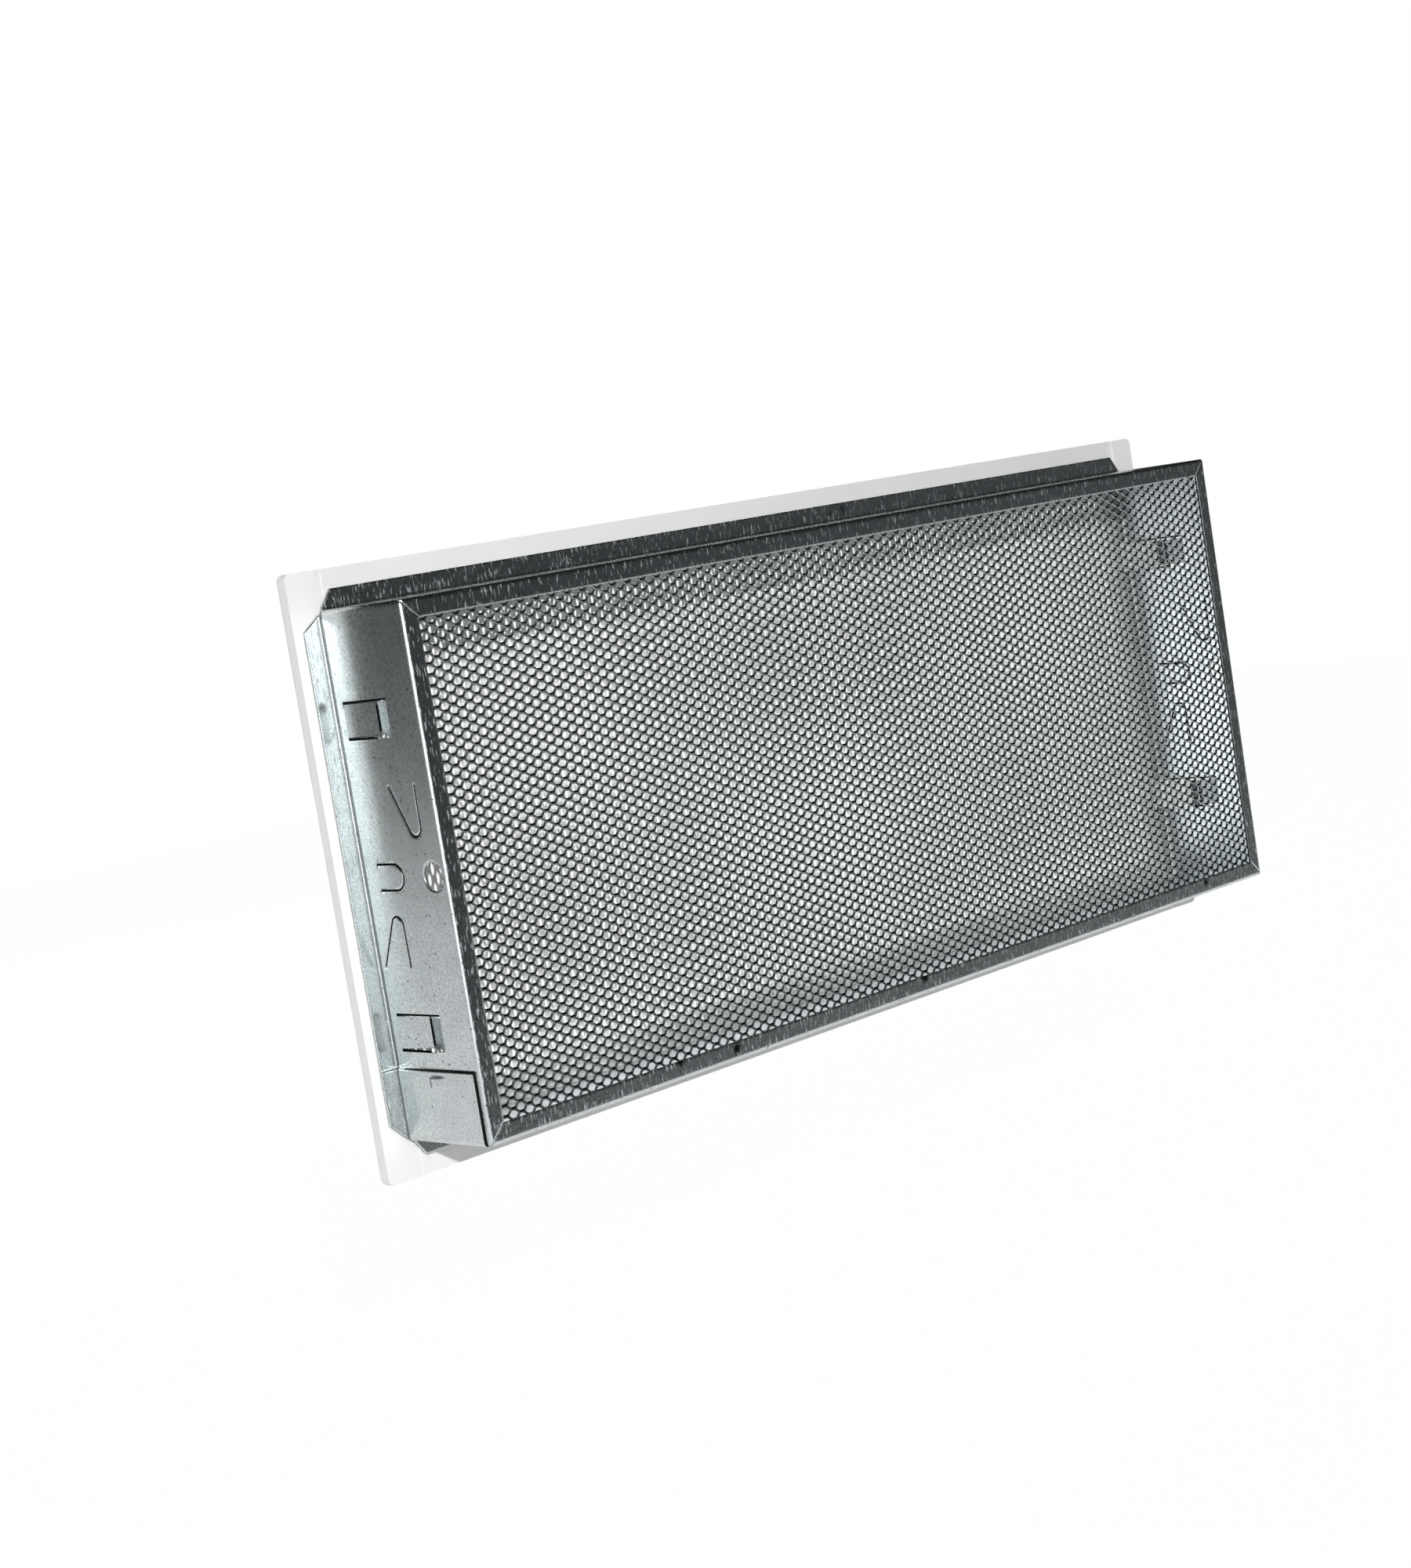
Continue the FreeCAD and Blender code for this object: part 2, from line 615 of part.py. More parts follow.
def clip_leg(label, side, middle):
    """A strip welded to the face: a foot under the hem, and a leg whose end is bent in to lead it."""
    body = new_body(label)
    thick = S["leg_sheet"]
    inside = S["bend_inside"]
    reach = S["leg_reach"]
    far = leg_inside + S["leg_foot"]
    sketch = body_sketch(body, f"{label}_profile", "XY_Plane", 0, [[
        (leg_inside, face_rear + thick + inside, thick + inside),
        (leg_inside + thick + inside, face_rear), (far, face_rear), (far, face_rear + thick),
        (leg_outside + inside, face_rear + thick, -inside), (leg_outside, face_rear + thick + inside),
        (leg_outside, reach - S["leg_lead"]), (leg_outside - S["leg_lead_in"], reach),
        (leg_inside - S["leg_lead_in"], reach), (leg_inside, reach - S["leg_lead"])]])
    pad = body.newObject("PartDesign::Pad", f"{label}_strip")
    pad.Profile = sketch
    pad.Midplane = True
    bind(pad, "Length", S["leg_wide"])
    body.Placement.Rotation = FreeCAD.Rotation(FreeCAD.Vector(0, 1, 0), 0 if side > 0 else 180)
    bind(body, ".Placement.Base.z", middle)
    return body


def check_and_write(pieces):
    for thing in doc.Objects:
        if "Invalid" in thing.State or "Error" in thing.State:
            raise RuntimeError(f"{thing.Name} failed: {thing.State}")
    for piece in pieces:
        shape = piece.Shape
        if shape.isNull() or not shape.isValid() or len(shape.Solids) != 1:
            raise RuntimeError(f"{piece.Label} isn't one valid solid")
    for piece in pieces:
        box = piece.Shape.BoundBox
        print(f"{piece.Label}: {piece.Shape.Volume / 1000:.2f} cm3, x {box.XMin:.2f} to {box.XMax:.2f}, "
              f"y {box.YMin:.2f} to {box.YMax:.2f}, z {box.ZMin:.2f} to {box.ZMax:.2f}")
        piece.Shape.exportStep(f"parts/{piece.Label}.step")


def build():
    os.makedirs("parts", exist_ok=True)
    clear = S["sheet"] + S["mesh_clear"]
    overlap = S["front_overlap"]
    pieces = [
        mounting_sleeve(),
        expanded_mesh("back_mesh", half_width - clear, half_height - clear,
                      S["back_columns"], S["back_rows"], back - S["sheet"] - S["mesh_thick"], False),
        front_frame(),
        expanded_mesh("front_mesh", opening_half_height + overlap, opening_half_width + overlap,
                      S["front_columns"], S["front_rows"], face_rear, True)]
    for height, sign in (("upper", 1), ("lower", -1)):
        for name, side in (("right", 1), ("left", -1)):
            pieces.append(clip_leg(f"clip_leg_{height}_{name}", side, S["clip_middle"] * sign))
    doc.recompute()
    check_and_write(pieces)


build()
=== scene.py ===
import math

import bmesh
import bpy
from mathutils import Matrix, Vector


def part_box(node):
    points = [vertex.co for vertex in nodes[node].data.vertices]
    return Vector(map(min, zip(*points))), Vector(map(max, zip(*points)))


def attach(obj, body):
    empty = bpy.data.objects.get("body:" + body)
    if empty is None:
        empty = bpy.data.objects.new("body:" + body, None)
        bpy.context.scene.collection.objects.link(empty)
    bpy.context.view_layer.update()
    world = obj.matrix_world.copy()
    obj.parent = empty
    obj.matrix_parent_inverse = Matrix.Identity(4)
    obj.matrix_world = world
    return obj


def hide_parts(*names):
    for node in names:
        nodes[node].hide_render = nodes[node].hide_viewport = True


# Push-in ventilation grille, seen from behind: a galvanised sleeve with an expanded mesh at its back,
# and a white front panel with a mesh of its own. Metres. The room is at -Y and the wall at +Y.

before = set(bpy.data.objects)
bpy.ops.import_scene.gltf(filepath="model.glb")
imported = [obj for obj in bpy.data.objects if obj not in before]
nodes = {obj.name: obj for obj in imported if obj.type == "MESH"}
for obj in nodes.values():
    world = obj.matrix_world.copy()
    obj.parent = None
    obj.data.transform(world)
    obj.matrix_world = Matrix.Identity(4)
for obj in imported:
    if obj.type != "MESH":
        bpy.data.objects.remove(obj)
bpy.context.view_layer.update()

MM = 0.001

# The sockets of a Mix node by their place, because its kinds of data share their names
SHARE = 0
VECTOR_A, VECTOR_B, MIXED_VECTOR = 4, 5, 1
COLOUR_A, COLOUR_B, MIXED_COLOUR = 6, 7, 2


def colour(code):
    """An sRGB hex code as the linear colour that a socket takes."""
    parts = [int(code[place:place + 2], 16) / 255 for place in (1, 3, 5)]
    return (*[p / 12.92 if p <= 0.04045 else ((p + 0.055) / 1.055) ** 2.4 for p in parts], 1.0)


def add(tree, kind, inputs=None, **settings):
    """Add a node with its settings. An input is a value, an output, or a node for its first output."""
    node = tree.nodes.new(kind)
    for name, value in settings.items():
        setattr(node, name, value)
    for name, value in (inputs or {}).items():
        if isinstance(value, bpy.types.Node):
            value = value.outputs[0]
        if isinstance(value, bpy.types.NodeSocket):
            tree.links.new(value, node.inputs[name])
        else:
            node.inputs[name].default_value = value
    return node


# The two expanded meshes

SHORT_PITCH = 2.93 * MM
LONG_PITCH = 5.68 * MM
BOND_LONG = 1.6 * MM
# A strand's section in each mesh: its width, its thickness and how far it leans. They are chosen so that,
# seen from the camera, one diagonal of the back mesh is wide and pale and the other narrow and dark.
BACK_STRAND = (0.42 * MM, 0.75 * MM, math.radians(50))
FRONT_STRAND = (0.80 * MM, 0.50 * MM, math.radians(40))


def expanded_metal_tree():
    """Wavy strands that lie side by side and meet at their bonds; the long way runs along X."""
    tree = bpy.data.node_groups.new("expanded_metal", "GeometryNodeTree")
    for name, kind in (("Waves", "NodeSocketInt"), ("Strands", "NodeSocketInt"),
                       ("Wave Length", "NodeSocketFloat"), ("Strand Step", "NodeSocketFloat"),
                       ("Bond Length", "NodeSocketFloat"), ("Strand Width", "NodeSocketFloat"),
                       ("Strand Thickness", "NodeSocketFloat"), ("Strand Tilt", "NodeSocketFloat"),
                       ("Middle", "NodeSocketVector"), ("Turn", "NodeSocketFloat"),
                       ("Material", "NodeSocketMaterial")):
        tree.interface.new_socket(name, in_out="INPUT", socket_type=kind)
    tree.interface.new_socket("Geometry", in_out="OUTPUT", socket_type="NodeSocketGeometry")
    given = add(tree, "NodeGroupInput").outputs

    # A strand is a row of points, two at each bond, so wave 0 starts with half a bond.
    point = add(tree, "GeometryNodeInputIndex")
    odd_point = add(tree, "ShaderNodeMath", {0: point, 1: 2.0}, operation="MODULO")
    bond = add(tree, "ShaderNodeMath", {0: point, 1: 2.0}, operation="DIVIDE")
    bond = add(tree, "ShaderNodeMath", {0: bond}, operation="FLOOR")
    odd_bond = add(tree, "ShaderNodeMath", {0: bond, 1: 2.0}, operation="MODULO")
    level = add(tree, "ShaderNodeMath", {0: odd_bond, 1: -2.0, 2: 1.0}, operation="MULTIPLY_ADD")
    half_wave = add(tree, "ShaderNodeMath", {0: given["Wave Length"], 1: 0.5}, operation="MULTIPLY")
    end_of_bond = add(tree, "ShaderNodeMath", {0: odd_point, 1: 0.5}, operation="SUBTRACT")
    end_of_bond = add(tree, "ShaderNodeMath", {0: end_of_bond, 1: given["Bond Length"]},
                      operation="MULTIPLY")
    length = add(tree, "ShaderNodeMath", {0: given["Wave Length"], 1: given["Waves"]},
                 operation="MULTIPLY")
    along = add(tree, "ShaderNodeMath", {0: bond, 1: half_wave, 2: end_of_bond},
                operation="MULTIPLY_ADD")
    along = add(tree, "ShaderNodeClamp", {"Value": along, "Min": 0.0, "Max": length})
    along = add(tree, "ShaderNodeMath", {0: length, 1: -0.5, 2: along}, operation="MULTIPLY_ADD")

    # At each second bond it swings up to the strand above and leans forwards, then down and back.
    cosine = add(tree, "ShaderNodeMath", {0: given["Strand Tilt"]}, operation="COSINE")
    sine = add(tree, "ShaderNodeMath", {0: given["Strand Tilt"]}, operation="SINE")
    upright = add(tree, "ShaderNodeMath", {0: given["Strand Width"], 1: cosine}, operation="MULTIPLY")
    leaning = add(tree, "ShaderNodeMath", {0: given["Strand Width"], 1: sine}, operation="MULTIPLY")
    swing = add(tree, "ShaderNodeMath", {0: given["Strand Step"], 1: upright}, operation="SUBTRACT")
    up_and_down = add(tree, "ShaderNodeCombineXYZ", {"Y": leaning, "Z": swing})
    up_and_down = add(tree, "ShaderNodeVectorMath", {0: up_and_down, 1: (0.0, -0.5, 0.5)},
                      operation="MULTIPLY")
    up_and_down = add(tree, "ShaderNodeVectorMath", {0: up_and_down, "Scale": level},
                      operation="SCALE")
    along = add(tree, "ShaderNodeCombineXYZ", {"X": along})
    place = add(tree, "ShaderNodeVectorMath", {0: up_and_down, 1: along}, operation="ADD")

    count = add(tree, "ShaderNodeMath", {0: given["Waves"], 1: 4.0, 2: 2.0}, operation="MULTIPLY_ADD")
    points = add(tree, "GeometryNodeMeshLine", {"Count": count})
    row = add(tree, "GeometryNodeSetPosition", {"Geometry": points, "Position": place})
    line = add(tree, "GeometryNodeMeshToCurve", {"Mesh": row})
    line = add(tree, "GeometryNodeSetCurveNormal", {"Curve": line}, mode="Z_UP")
    section = add(tree, "GeometryNodeCurvePrimitiveQuadrilateral", {
        "Width": given["Strand Thickness"], "Height": given["Strand Width"]})
    turned = add(tree, "ShaderNodeMath", {0: given["Strand Tilt"], 1: -1.0}, operation="MULTIPLY")
    turned = add(tree, "ShaderNodeCombineXYZ", {"Z": turned})
    section = add(tree, "GeometryNodeTransform", {"Geometry": section, "Rotation": turned})
    strand = add(tree, "GeometryNodeCurveToMesh", {
        "Curve": line, "Profile Curve": section, "Fill Caps": True})

    # Every second strand is the same one turned over, so that it meets its neighbours at their bonds.
    last = add(tree, "ShaderNodeMath", {0: given["Strands"], 1: 1.0}, operation="SUBTRACT")
    start = add(tree, "ShaderNodeMath", {0: last, 1: given["Strand Step"]}, operation="MULTIPLY")
    start = add(tree, "ShaderNodeMath", {0: start, 1: -0.5}, operation="MULTIPLY")
    start = add(tree, "ShaderNodeCombineXYZ", {"Z": start})
    step = add(tree, "ShaderNodeCombineXYZ", {"Z": given["Strand Step"]})
    stack = add(tree, "GeometryNodeMeshLine", {
        "Count": given["Strands"], "Start Location": start, "Offset": step})
    over = add(tree, "ShaderNodeMath", {0: odd_point, 1: math.pi}, operation="MULTIPLY")
    over = add(tree, "ShaderNodeCombineXYZ", {"X": over})
    strands = add(tree, "GeometryNodeInstanceOnPoints", {
        "Points": stack, "Instance": strand, "Rotation": over})
    turn = add(tree, "ShaderNodeCombineXYZ", {"Y": given["Turn"]})
    sheet = add(tree, "GeometryNodeTransform", {
        "Geometry": strands, "Translation": given["Middle"], "Rotation": turn})
    solid = add(tree, "GeometryNodeRealizeInstances", {"Geometry": sheet})
    flat = add(tree, "GeometryNodeSetShadeSmooth", {"Geometry": solid, "Shade Smooth": False})
    painted = add(tree, "GeometryNodeSetMaterial", {"Geometry": flat, "Material": given["Material"]})
    add(tree, "NodeGroupOutput", {"Geometry": painted})
    return tree


def expanded_mesh(tree, name, node, body, material, strand, upright):
    """The real mesh in the place of a coarse CAD one; upright turns its long way up."""
    wide, thick, tilt = strand
    low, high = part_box(node)
    size = high - low
    length, across = (size.z, size.x) if upright else (size.x, size.z)
    waves = round(length / LONG_PITCH)
    strands = 2 * round(across / SHORT_PITCH)
    values = {"Waves": waves, "Strands": strands, "Wave Length": length / waves,
              "Strand Step": (across - thick * math.sin(tilt)) / strands,
              "Bond Length": BOND_LONG, "Strand Width": wide, "Strand Thickness": thick,
              "Strand Tilt": tilt, "Middle": (low + high) / 2,
              "Turn": -math.pi / 2 if upright else 0.0, "Material": material}
    holder = bpy.data.objects.new(f"{name}_holder", bpy.data.meshes.new(f"{name}_holder"))
    bpy.context.scene.collection.objects.link(holder)
    modifier = holder.modifiers.new("strands", "NODES")
    modifier.node_group = tree
    for item in tree.interface.items_tree:
        if item.in_out == "INPUT":
            modifier[item.identifier] = values[item.name]
    graph = bpy.context.evaluated_depsgraph_get()
    mesh = bpy.data.meshes.new_from_object(holder.evaluated_get(graph))
    bpy.data.objects.remove(holder)
    piece = bpy.data.objects.new(name, mesh)
    bpy.context.scene.collection.objects.link(piece)
    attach(piece, body)
    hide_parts(node)


# Sheared cuts: the tongues and flaps were lanced without losing metal, so their slits lie in shade; black
# strips of painted shade fill them and read as black lines

WALL_OUTSIDE = 177.5 * MM
CUT_WIDE = 0.55 * MM
# How far below the wall's outside a strip starts and ends
STRIP_TOP = 0.02 * MM
STRIP_FOOT = 0.6 * MM
TONGUE_ROOTS = (18.1 * MM, 28.7 * MM)
TONGUE_ROOT_HEIGHT = 24.8 * MM
TONGUE_TIP = (26.3 * MM, 13.3 * MM)
TONGUE_TIP_RADIUS = 2.2 * MM
LOWER_TONGUE_SHIFT = -14.8 * MM
TAB_ROOT = 6.8 * MM
TAB_TIP = 14.2 * MM
TAB_RADIUS = 3.3 * MM
CLIP_MIDDLE = 43 * MM
CLIP_HEIGHT = 10.7 * MM
CLIP_ENDS = (4 * MM, 23 * MM)
CLIP_GAP_LEFT_OPEN = 7 * MM
CLIP_SPLIT = 16.5 * MM
CLIP_SPLIT_HIGH = 3.6 * MM
CLIP_PRESSED_IN = 1.6 * MM


def round_tip(middle, radius, start, end, steps=10):
    """Points on an arc round the middle, from the start angle to the end angle."""
    angles = [start + (end - start) / steps * step for step in range(steps + 1)]
    return [(middle[0] + radius * math.cos(angle), middle[1] + radius * math.sin(angle))
            for angle in angles]


def tongue_line(shift, sign):
    """The cut round an anchor tongue, from root to root, as (depth, height)."""
    radius = TONGUE_TIP_RADIUS + CUT_WIDE / 2
    ends = []
    for root, turn in zip((TONGUE_ROOTS[0] - CUT_WIDE / 2, TONGUE_ROOTS[1] + CUT_WIDE / 2), (1, -1)):
        across, up = root - TONGUE_TIP[0], TONGUE_ROOT_HEIGHT - TONGUE_TIP[1]
        ends.append(math.atan2(up, across) + turn * math.acos(radius / math.hypot(across, up)))
    tip = round_tip(TONGUE_TIP, radius, ends[0], ends[1] + 2 * math.pi)
    line = [(TONGUE_ROOTS[0] - CUT_WIDE / 2, TONGUE_ROOT_HEIGHT), *tip,
            (TONGUE_ROOTS[1] + CUT_WIDE / 2, TONGUE_ROOT_HEIGHT)]
    return [(depth + shift, height * sign) for depth, height in line]


def tab_line():
    """The cut round the small tab between the tongues, as (depth, height)."""
    radius = TAB_RADIUS + CUT_WIDE / 2
    tip = round_tip((TAB_TIP, 0.0), radius, math.pi / 2, -math.pi / 2)
    return [(TAB_ROOT, radius), *tip, (TAB_ROOT, -radius)]


def cut_ribbon(line, side, pressed_in):
    """Corner points and faces of a black strip of painted shade that fills a cut within the sheet's
    thickness.
    """
    outside = WALL_OUTSIDE - pressed_in
    outer, inner = (outside - STRIP_TOP) * side, (outside - STRIP_FOOT) * side
    points = []
    for place, (depth, height) in enumerate(line):
        before, after = line[max(place - 1, 0)], line[min(place + 1, len(line) - 1)]
        along = Vector((after[0] - before[0], after[1] - before[1])).normalized()
        shift = Vector((-along.y, along.x)) * (CUT_WIDE / 2)
        for x in (outer, inner):
            points.append((x, depth + shift.x, height + shift.y))
            points.append((x, depth - shift.x, height - shift.y))
    faces = [(0, 1, 3, 2)]
    for step in range(0, len(points) - 4, 4):
        for a, b in ((0, 1), (1, 3), (3, 2), (2, 0)):
            faces.append((step + a, step + b, step + 4 + b, step + 4 + a))
    end = len(points) - 4
    faces.append((end + 2, end + 3, end + 1, end))
    return points, faces


def slit_shade_strips(material):
    """The black strips of painted shade in both end walls: tongues, tab, the flaps' sides and the split
    between each pair.
    """
    high = CLIP_HEIGHT / 2 - CUT_WIDE / 2
    lines = [tongue_line(0.0, 1), tongue_line(LOWER_TONGUE_SHIFT, -1), tab_line()]
    for middle in (CLIP_MIDDLE, -CLIP_MIDDLE):
        lines.append([(CLIP_ENDS[0], middle + high), (CLIP_ENDS[1], middle + high)])
        lines.append([(CLIP_ENDS[0], middle - high), (CLIP_ENDS[1] - CLIP_GAP_LEFT_OPEN, middle - high)])
    cuts = [(line, side, 0.0) for line in lines for side in (1, -1)]
    for middle in (CLIP_MIDDLE, -CLIP_MIDDLE):
        split = [(CLIP_SPLIT, middle + CLIP_SPLIT_HIGH), (CLIP_SPLIT, middle - CLIP_SPLIT_HIGH)]
        cuts += [(split, side, CLIP_PRESSED_IN) for side in (1, -1)]
    points, faces = [], []
    for line, side, pressed_in in cuts:
        ribbon, walls = cut_ribbon(line, side, pressed_in)
        faces += [tuple(len(points) + corner for corner in wall) for wall in walls]
        points += ribbon
    mesh = bpy.data.meshes.new("slit_shade_strips")
    mesh.from_pydata(points, [], faces)
    strips = bmesh.new()
    strips.from_mesh(mesh)
    bmesh.ops.recalc_face_normals(strips, faces=strips.faces)
    strips.to_mesh(mesh)
    strips.free()
    mesh.materials.append(material)
    piece = bpy.data.objects.new("slit_shade_strips", mesh)
    bpy.context.scene.collection.objects.link(piece)
    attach(piece, "sleeve")


# Materials

# Burnt spots round the spot welds, and smudges on the flange: middle and radius, in millimetres
SPOT_WELDS = [
    ((106.6, 35.5, -68.2), 2.6),
    ((84.3, 35.5, -70.0), 2.6),
    ((1.7, 35.5, -68.8), 2.6),
    ((-145.1, 35.5, -69.5), 2.2),
    ((-171.0, 35.5, -0.3), 2.4),
    ((-167.5, 35.5, 67.4), 2.2),
]
SMUDGES = [
    ((181.5, 0.0, 47.5), 2.2),
    ((-32.3, 0.0, 76.8), 2.6),
    ((-26.0, 0.0, 76.0), 1.6),
]
# Corners of the lines that stay in shade, in millimetres: the two cut edges of the strip's lapped end,
# the mouth of its clinch, and the crease where the end wall turns into the flange
LAP_TOP = -53.1
LAP_BACK = 34.2
GAP = 0.22
DARK_GAPS = [
    ((177.3, 4.0, LAP_TOP - GAP), (181.0, LAP_BACK + GAP, LAP_TOP + GAP)),
    ((177.3, LAP_BACK - GAP, -80.0), (181.0, LAP_BACK + GAP, LAP_TOP)),
    ((177.3, 15.35, -57.6), (181.0, 16.05, -55.0)),
]
FLANGE_CREASE = ((177.3, 0.4, -80.0), (190.0, 1.4, 80.0))
# Where edges stay crisp: the pairs of flaps on the two end walls, and the bend of the bottom lip
CRISP_EDGES = [((160.0 * side - 20.0, 3.0, middle - 6.0), (160.0 * side + 20.0, 24.0, middle + 6.0))
               for side in (1, -1) for middle in (43.0, -43.0)]
CRISP_EDGES.append(((-180.0, 30.0, -80.0), (176.5, 40.0, -72.2)))
# The lips' cut edges lie within this box and face sideways; painted shade darkens them
LIP_EDGES = ((-172.5, 35.2, -68.5), (172.5, 40.0, 68.5))
# Boxes round the normals of faces that look at the wall, and of those that look sideways
FACING_BACK = ((-2.0, 0.85, -2.0), (2.0, 2.0, 2.0))
FACING_SIDEWAYS = ((-2.0, -0.5, -2.0), (2.0, 0.5, 2.0))
# Place times normal lies in this box, in millimetres, except on the inner side of the sleeve's walls,
# where the two oppose
FACING_OUT = ((-160.0, -1000.0, -65.0), (1000.0, 1000.0, 1000.0))


def new_material(name):
    material = bpy.data.materials.new(name)
    material.use_nodes = True
    tree = material.node_tree
    tree.nodes.clear()
    return material, tree


def within(tree, place, box, unit, soft):
    """One inside a box, fading to nothing over the soft distance outside it."""
    middle = [(low + high) / 2 * unit for low, high in zip(*box)]
    half = [(high - low) / 2 * unit for low, high in zip(*box)]
    away = add(tree, "ShaderNodeVectorMath", {0: place, 1: middle}, operation="SUBTRACT")
    away = add(tree, "ShaderNodeVectorMath", {0: away}, operation="ABSOLUTE")
    away = add(tree, "ShaderNodeVectorMath", {0: away, 1: half}, operation="SUBTRACT")
    away = add(tree, "ShaderNodeVectorMath", {0: away, 1: (0.0, 0.0, 0.0)}, operation="MAXIMUM")
    away = add(tree, "ShaderNodeVectorMath", {0: away}, operation="LENGTH").outputs["Value"]
    return add(tree, "ShaderNodeMapRange", {
        "Value": away, "From Max": soft, "To Min": 1.0, "To Max": 0.0})


def ragged_spots(tree, place, spots):
    """One inside the given round spots, with a ragged edge."""
    ragged = add(tree, "ShaderNodeTexNoise", {
        "Vector": place, "Scale": 1 / (0.9 * MM), "Detail": 2.0})
    darkest = None
    for middle, radius in spots:
        middle = [part * MM for part in middle]
        away = add(tree, "ShaderNodeVectorMath", {0: place, 1: middle}, operation="DISTANCE")
        away = add(tree, "ShaderNodeMath", {0: away.outputs["Value"], 1: 1 / (radius * MM), 2: ragged},
                   operation="MULTIPLY_ADD")
        dark = add(tree, "ShaderNodeMapRange", {
            "Value": away, "From Min": 0.8, "From Max": 1.35, "To Min": 1.0, "To Max": 0.0})
        darkest = dark if darkest is None else add(
            tree, "ShaderNodeMath", {0: darkest, 1: dark}, operation="MAXIMUM")
    return darkest


def galvanised_sheet():
    """Hot-dip galvanised strip, skin-passed: bright cool grey with a fine grain and faint cloudy zinc.
    Handling has left small specks, scratched lips and burnt weld spots, and its inside is duller. Painted
    shade darkens the lips' cut edges, the lap's gaps, the clinch's mouth and the crease at the flange."""
    material, tree = new_material("galvanised_sheet")
    place = add(tree, "ShaderNodeTexCoord").outputs["Object"]
    normal = add(tree, "ShaderNodeNewGeometry").outputs["Normal"]
    cloud = add(tree, "ShaderNodeTexNoise", {
        "Vector": place, "Scale": 1 / (9 * MM), "Detail": 3.0, "Roughness": 0.6})
    # The real grain is near 0.1 mm; it is drawn at 0.6 mm to show in a render.
    grain = add(tree, "ShaderNodeTexNoise", {
        "Vector": place, "Scale": 1 / (0.6 * MM), "Detail": 2.0})
    speckle = add(tree, "ShaderNodeTexNoise", {
        "Vector": place, "Scale": 1 / (1.1 * MM), "Detail": 1.0})

    backwards = within(tree, normal, FACING_BACK, 1.0, 0.01)
    sideways = within(tree, normal, FACING_SIDEWAYS, 1.0, 0.01)
    outwards = add(tree, "ShaderNodeVectorMath", {0: place, 1: normal}, operation="MULTIPLY")
    outwards = within(tree, outwards, FACING_OUT, MM, 0.1 * MM)
    inwards = add(tree, "ShaderNodeMath", {0: 1.0, 1: outwards}, operation="SUBTRACT")

    cloudy = add(tree, "ShaderNodeMapRange", {"Value": cloud, "From Min": 0.35, "From Max": 0.65})
    specks = add(tree, "ShaderNodeMapRange", {"Value": speckle, "From Min": 0.70, "From Max": 0.76})
    grains = add(tree, "ShaderNodeMapRange", {
        "Value": grain, "From Min": 0.45, "From Max": 0.7, "To Max": 0.5})
    # Painted shade: the lips' cut edges that face sideways are darkened.
    lip_edge_shade = within(tree, place, LIP_EDGES, MM, 0.1 * MM)
    lip_edge_shade = add(tree, "ShaderNodeMath", {0: lip_edge_shade, 1: sideways}, operation="MULTIPLY")
    crease = within(tree, place, FLANGE_CREASE, MM, 0.1 * MM)
    crease = add(tree, "ShaderNodeMath", {0: crease, 1: backwards}, operation="SUBTRACT")
    crease = add(tree, "ShaderNodeMath", {0: crease, 1: 0.7}, operation="MULTIPLY", use_clamp=True)
    smudges = ragged_spots(tree, place, SMUDGES)
    smudges = add(tree, "ShaderNodeMath", {0: smudges, 1: 0.6}, operation="MULTIPLY")
    layers = [(cloudy, "#cfd5d6"), (specks, "#6c7173"), (grains, "#9da3a4"), (lip_edge_shade, "#3c4041"),
              (ragged_spots(tree, place, SPOT_WELDS), "#232423"), (smudges, "#4a4e4f"),
              (crease, "#1e2020")]
    layers += [(within(tree, place, gap, MM, 0.05 * MM), "#1e2020") for gap in DARK_GAPS]
    zinc = colour("#c6cccd")
    for share, code in layers:
        zinc = add(tree, "ShaderNodeMix", {SHARE: share, COLOUR_A: zinc, COLOUR_B: colour(code)},
                   data_type="RGBA").outputs[MIXED_COLOUR]

    rough = add(tree, "ShaderNodeMapRange", {
        "Value": grain, "From Min": 0.3, "From Max": 0.7, "To Min": 0.2, "To Max": 0.34})
    # Scratches 0.5 mm apart and some 4 mm long, on the lips, where they catch the lamp
    stretched = add(tree, "ShaderNodeVectorMath", {
        0: place, 1: (1 / (0.5 * MM), 1 / (0.5 * MM), 1 / (3.5 * MM))}, operation="MULTIPLY")
    scratches = add(tree, "ShaderNodeTexNoise", {"Vector": stretched, "Scale": 1.0, "Detail": 2.0})
    scratches = add(tree, "ShaderNodeMapRange", {
        "Value": scratches, "From Min": 0.58, "From Max": 0.66, "To Max": 0.5})
    rough = add(tree, "ShaderNodeMath", {0: scratches, 1: backwards, 2: rough},
                operation="MULTIPLY_ADD")
    dull = add(tree, "ShaderNodeMath", {0: inwards, 1: 0.45}, operation="MULTIPLY")
    rough = add(tree, "ShaderNodeMath", {0: rough, 1: dull}, operation="MAXIMUM")
    # The bends are round and catch the light, except where edges stay crisp.
    bend = add(tree, "ShaderNodeBevel", {"Radius": 0.9 * MM}, samples=12)
    for corners in CRISP_EDGES:
        crisp = within(tree, place, corners, MM, 0.1 * MM)
        bend = add(tree, "ShaderNodeMix", {SHARE: crisp, VECTOR_A: bend, VECTOR_B: normal},
                   data_type="VECTOR").outputs[MIXED_VECTOR]
    bump = add(tree, "ShaderNodeBump", {
        "Height": grain, "Distance": 0.01 * MM, "Strength": 0.35, "Normal": bend})
    shader = add(tree, "ShaderNodeBsdfPrincipled", {
        "Base Color": zinc, "Metallic": 1.0, "Roughness": rough, "Normal": bump})
    add(tree, "ShaderNodeOutputMaterial", {"Surface": shader})
    return material


